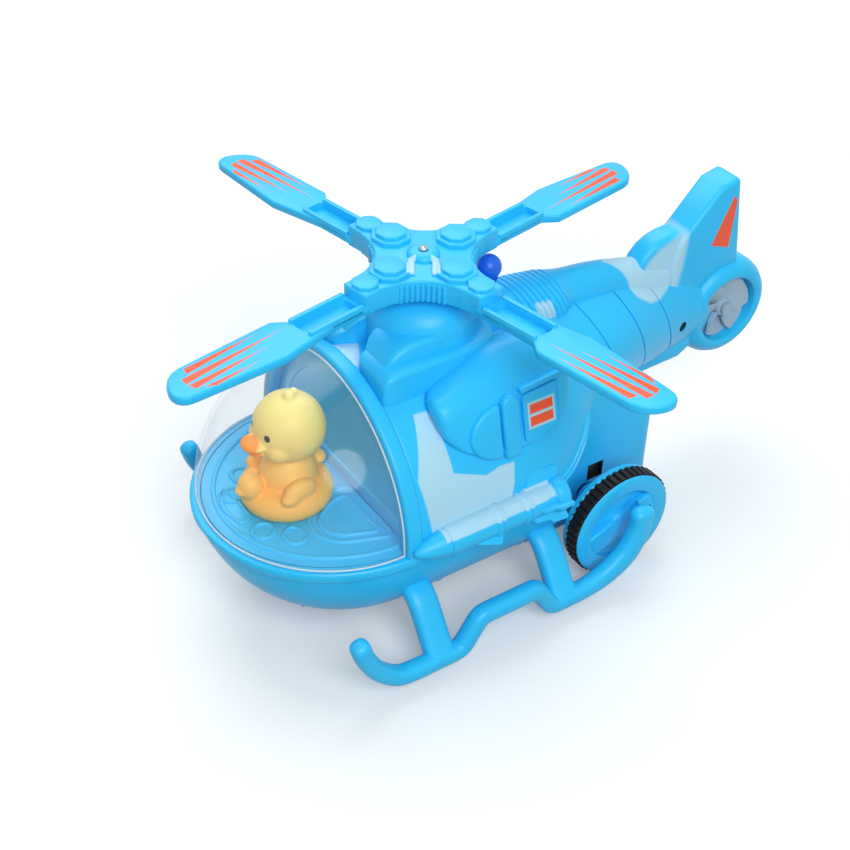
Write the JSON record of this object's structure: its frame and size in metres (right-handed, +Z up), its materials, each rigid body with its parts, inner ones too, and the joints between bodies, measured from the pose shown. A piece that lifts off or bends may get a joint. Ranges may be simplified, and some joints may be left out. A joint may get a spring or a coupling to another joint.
{
  "type": "toy helicopter",
  "caption": "Push-along toy helicopter with clear bubble canopy, seated duckling pilot, landing skids, ribbed rear wheels, ducted tail fan and a rotor geared to the wheels.",
  "frame": {"origin": "centre of the footprint on the ground, midway between the tail duct's rear edge and the leading blade's tip", "axes": "+X towards the nose, +Y towards the pilot's left, +Z up"},
  "size_m": [0.2452, 0.1904, 0.1227],
  "materials": {
    "sky_plastic": "satin moulded sky-blue plastic with white and orange paint",
    "deep_blue_plastic": "satin moulded plastic",
    "clear_plastic": "clear moulded styrene",
    "yellow_plastic": "soft matt vinyl",
    "grey_plastic": "silver-grey moulded plastic",
    "tyre": "ribbed rubber band",
    "steel": "plain drawn steel",
    "nylon": "natural nylon"
  },
  "bodies": {
    "airframe": {"lower_hull": "sky_plastic", "upper_body": "sky_plastic", "rear_housing": "sky_plastic", "tail_boom": "sky_plastic", "spine_fairing": "sky_plastic", "mast_pylon": "sky_plastic", "canopy_frame": "sky_plastic", "cockpit_deck": "sky_plastic", "engine_pod_left": "sky_plastic", "engine_pod_right": "sky_plastic", "rocket_left": "sky_plastic", "rocket_right": "sky_plastic", "skid_left": "sky_plastic", "skid_right": "sky_plastic", "tail_fin": "sky_plastic", "fan_duct": "sky_plastic", "cockpit_wall": "deep_blue_plastic", "beacon_dome": "deep_blue_plastic", "nose_bracket": "deep_blue_plastic", "canopy": "clear_plastic", "pilot_figure": "yellow_plastic", "fan_pin": "steel", "nose_axle": "steel", "plate_spacers": "steel", "body_screws": "steel", "motor_plate_left": "nylon", "motor_plate_right": "nylon", "mast_bridge": "nylon", "mast_bush": "nylon"},
    "rotor": {"rotor_shaft": "steel", "crown_gear": "nylon", "rotor_hub": "sky_plastic", "rotor_blade_1": "sky_plastic", "rotor_blade_2": "sky_plastic", "rotor_blade_3": "sky_plastic", "rotor_blade_4": "sky_plastic", "rotor_screw": "steel"},
    "rear_wheels": {"rear_axle": "steel", "axle_gear": "nylon", "wheel_left": "sky_plastic", "wheel_right": "sky_plastic", "tyre_left": "tyre", "tyre_right": "tyre"},
    "lay": {"lay_gear": "nylon"},
    "flywheel": {"flywheel": "steel"},
    "idler": {"idler_gear": "nylon"},
    "pinion": {"mast_pinion": "nylon"},
    "roller": {"nose_roller": "deep_blue_plastic"},
    "fan": {"tail_fan": "grey_plastic"}
  },
  "joints": [
    {"name": "rotor_spin", "type": "hinge", "parent": "airframe", "child": "rotor", "pos_m": [0.02742, 0, 0.1], "axis": [0, 0, 1], "continuous": true},
    {"name": "wheel_spin", "type": "hinge", "parent": "airframe", "child": "rear_wheels", "pos_m": [-0.02408, 0, 0.0203], "axis": [0, 1, 0], "continuous": true},
    {"name": "lay_spin", "type": "hinge", "parent": "airframe", "child": "lay", "pos_m": [-0.01391, 0, 0.032], "axis": [0, 1, 0], "continuous": true},
    {"name": "flywheel_spin", "type": "hinge", "parent": "airframe", "child": "flywheel", "pos_m": [-0.01539, 0, 0.04893], "axis": [0, 1, 0], "continuous": true},
    {"name": "idler_spin", "type": "hinge", "parent": "airframe", "child": "idler", "pos_m": [0.00983, 0, 0.03555], "axis": [0, 1, 0], "continuous": true},
    {"name": "pinion_spin", "type": "hinge", "parent": "airframe", "child": "pinion", "pos_m": [0.02742, 0, 0.03934], "axis": [0, 1, 0], "continuous": true},
    {"name": "roller_spin", "type": "hinge", "parent": "airframe", "child": "roller", "pos_m": [0.07392, 0, 0.006], "axis": [0, 1, 0], "continuous": true},
    {"name": "fan_spin", "type": "hinge", "parent": "airframe", "child": "fan", "pos_m": [-0.10308, 0, 0.0575], "axis": [0, 1, 0], "continuous": true}
  ],
  "couplings": [
    {"joint": "wheel_spin", "follows": "rotor_spin", "ratio": 0.55},
    {"joint": "lay_spin", "follows": "rotor_spin", "ratio": -1},
    {"joint": "flywheel_spin", "follows": "rotor_spin", "ratio": 2.4},
    {"joint": "idler_spin", "follows": "rotor_spin", "ratio": 1},
    {"joint": "pinion_spin", "follows": "rotor_spin", "ratio": -2}
  ]
}
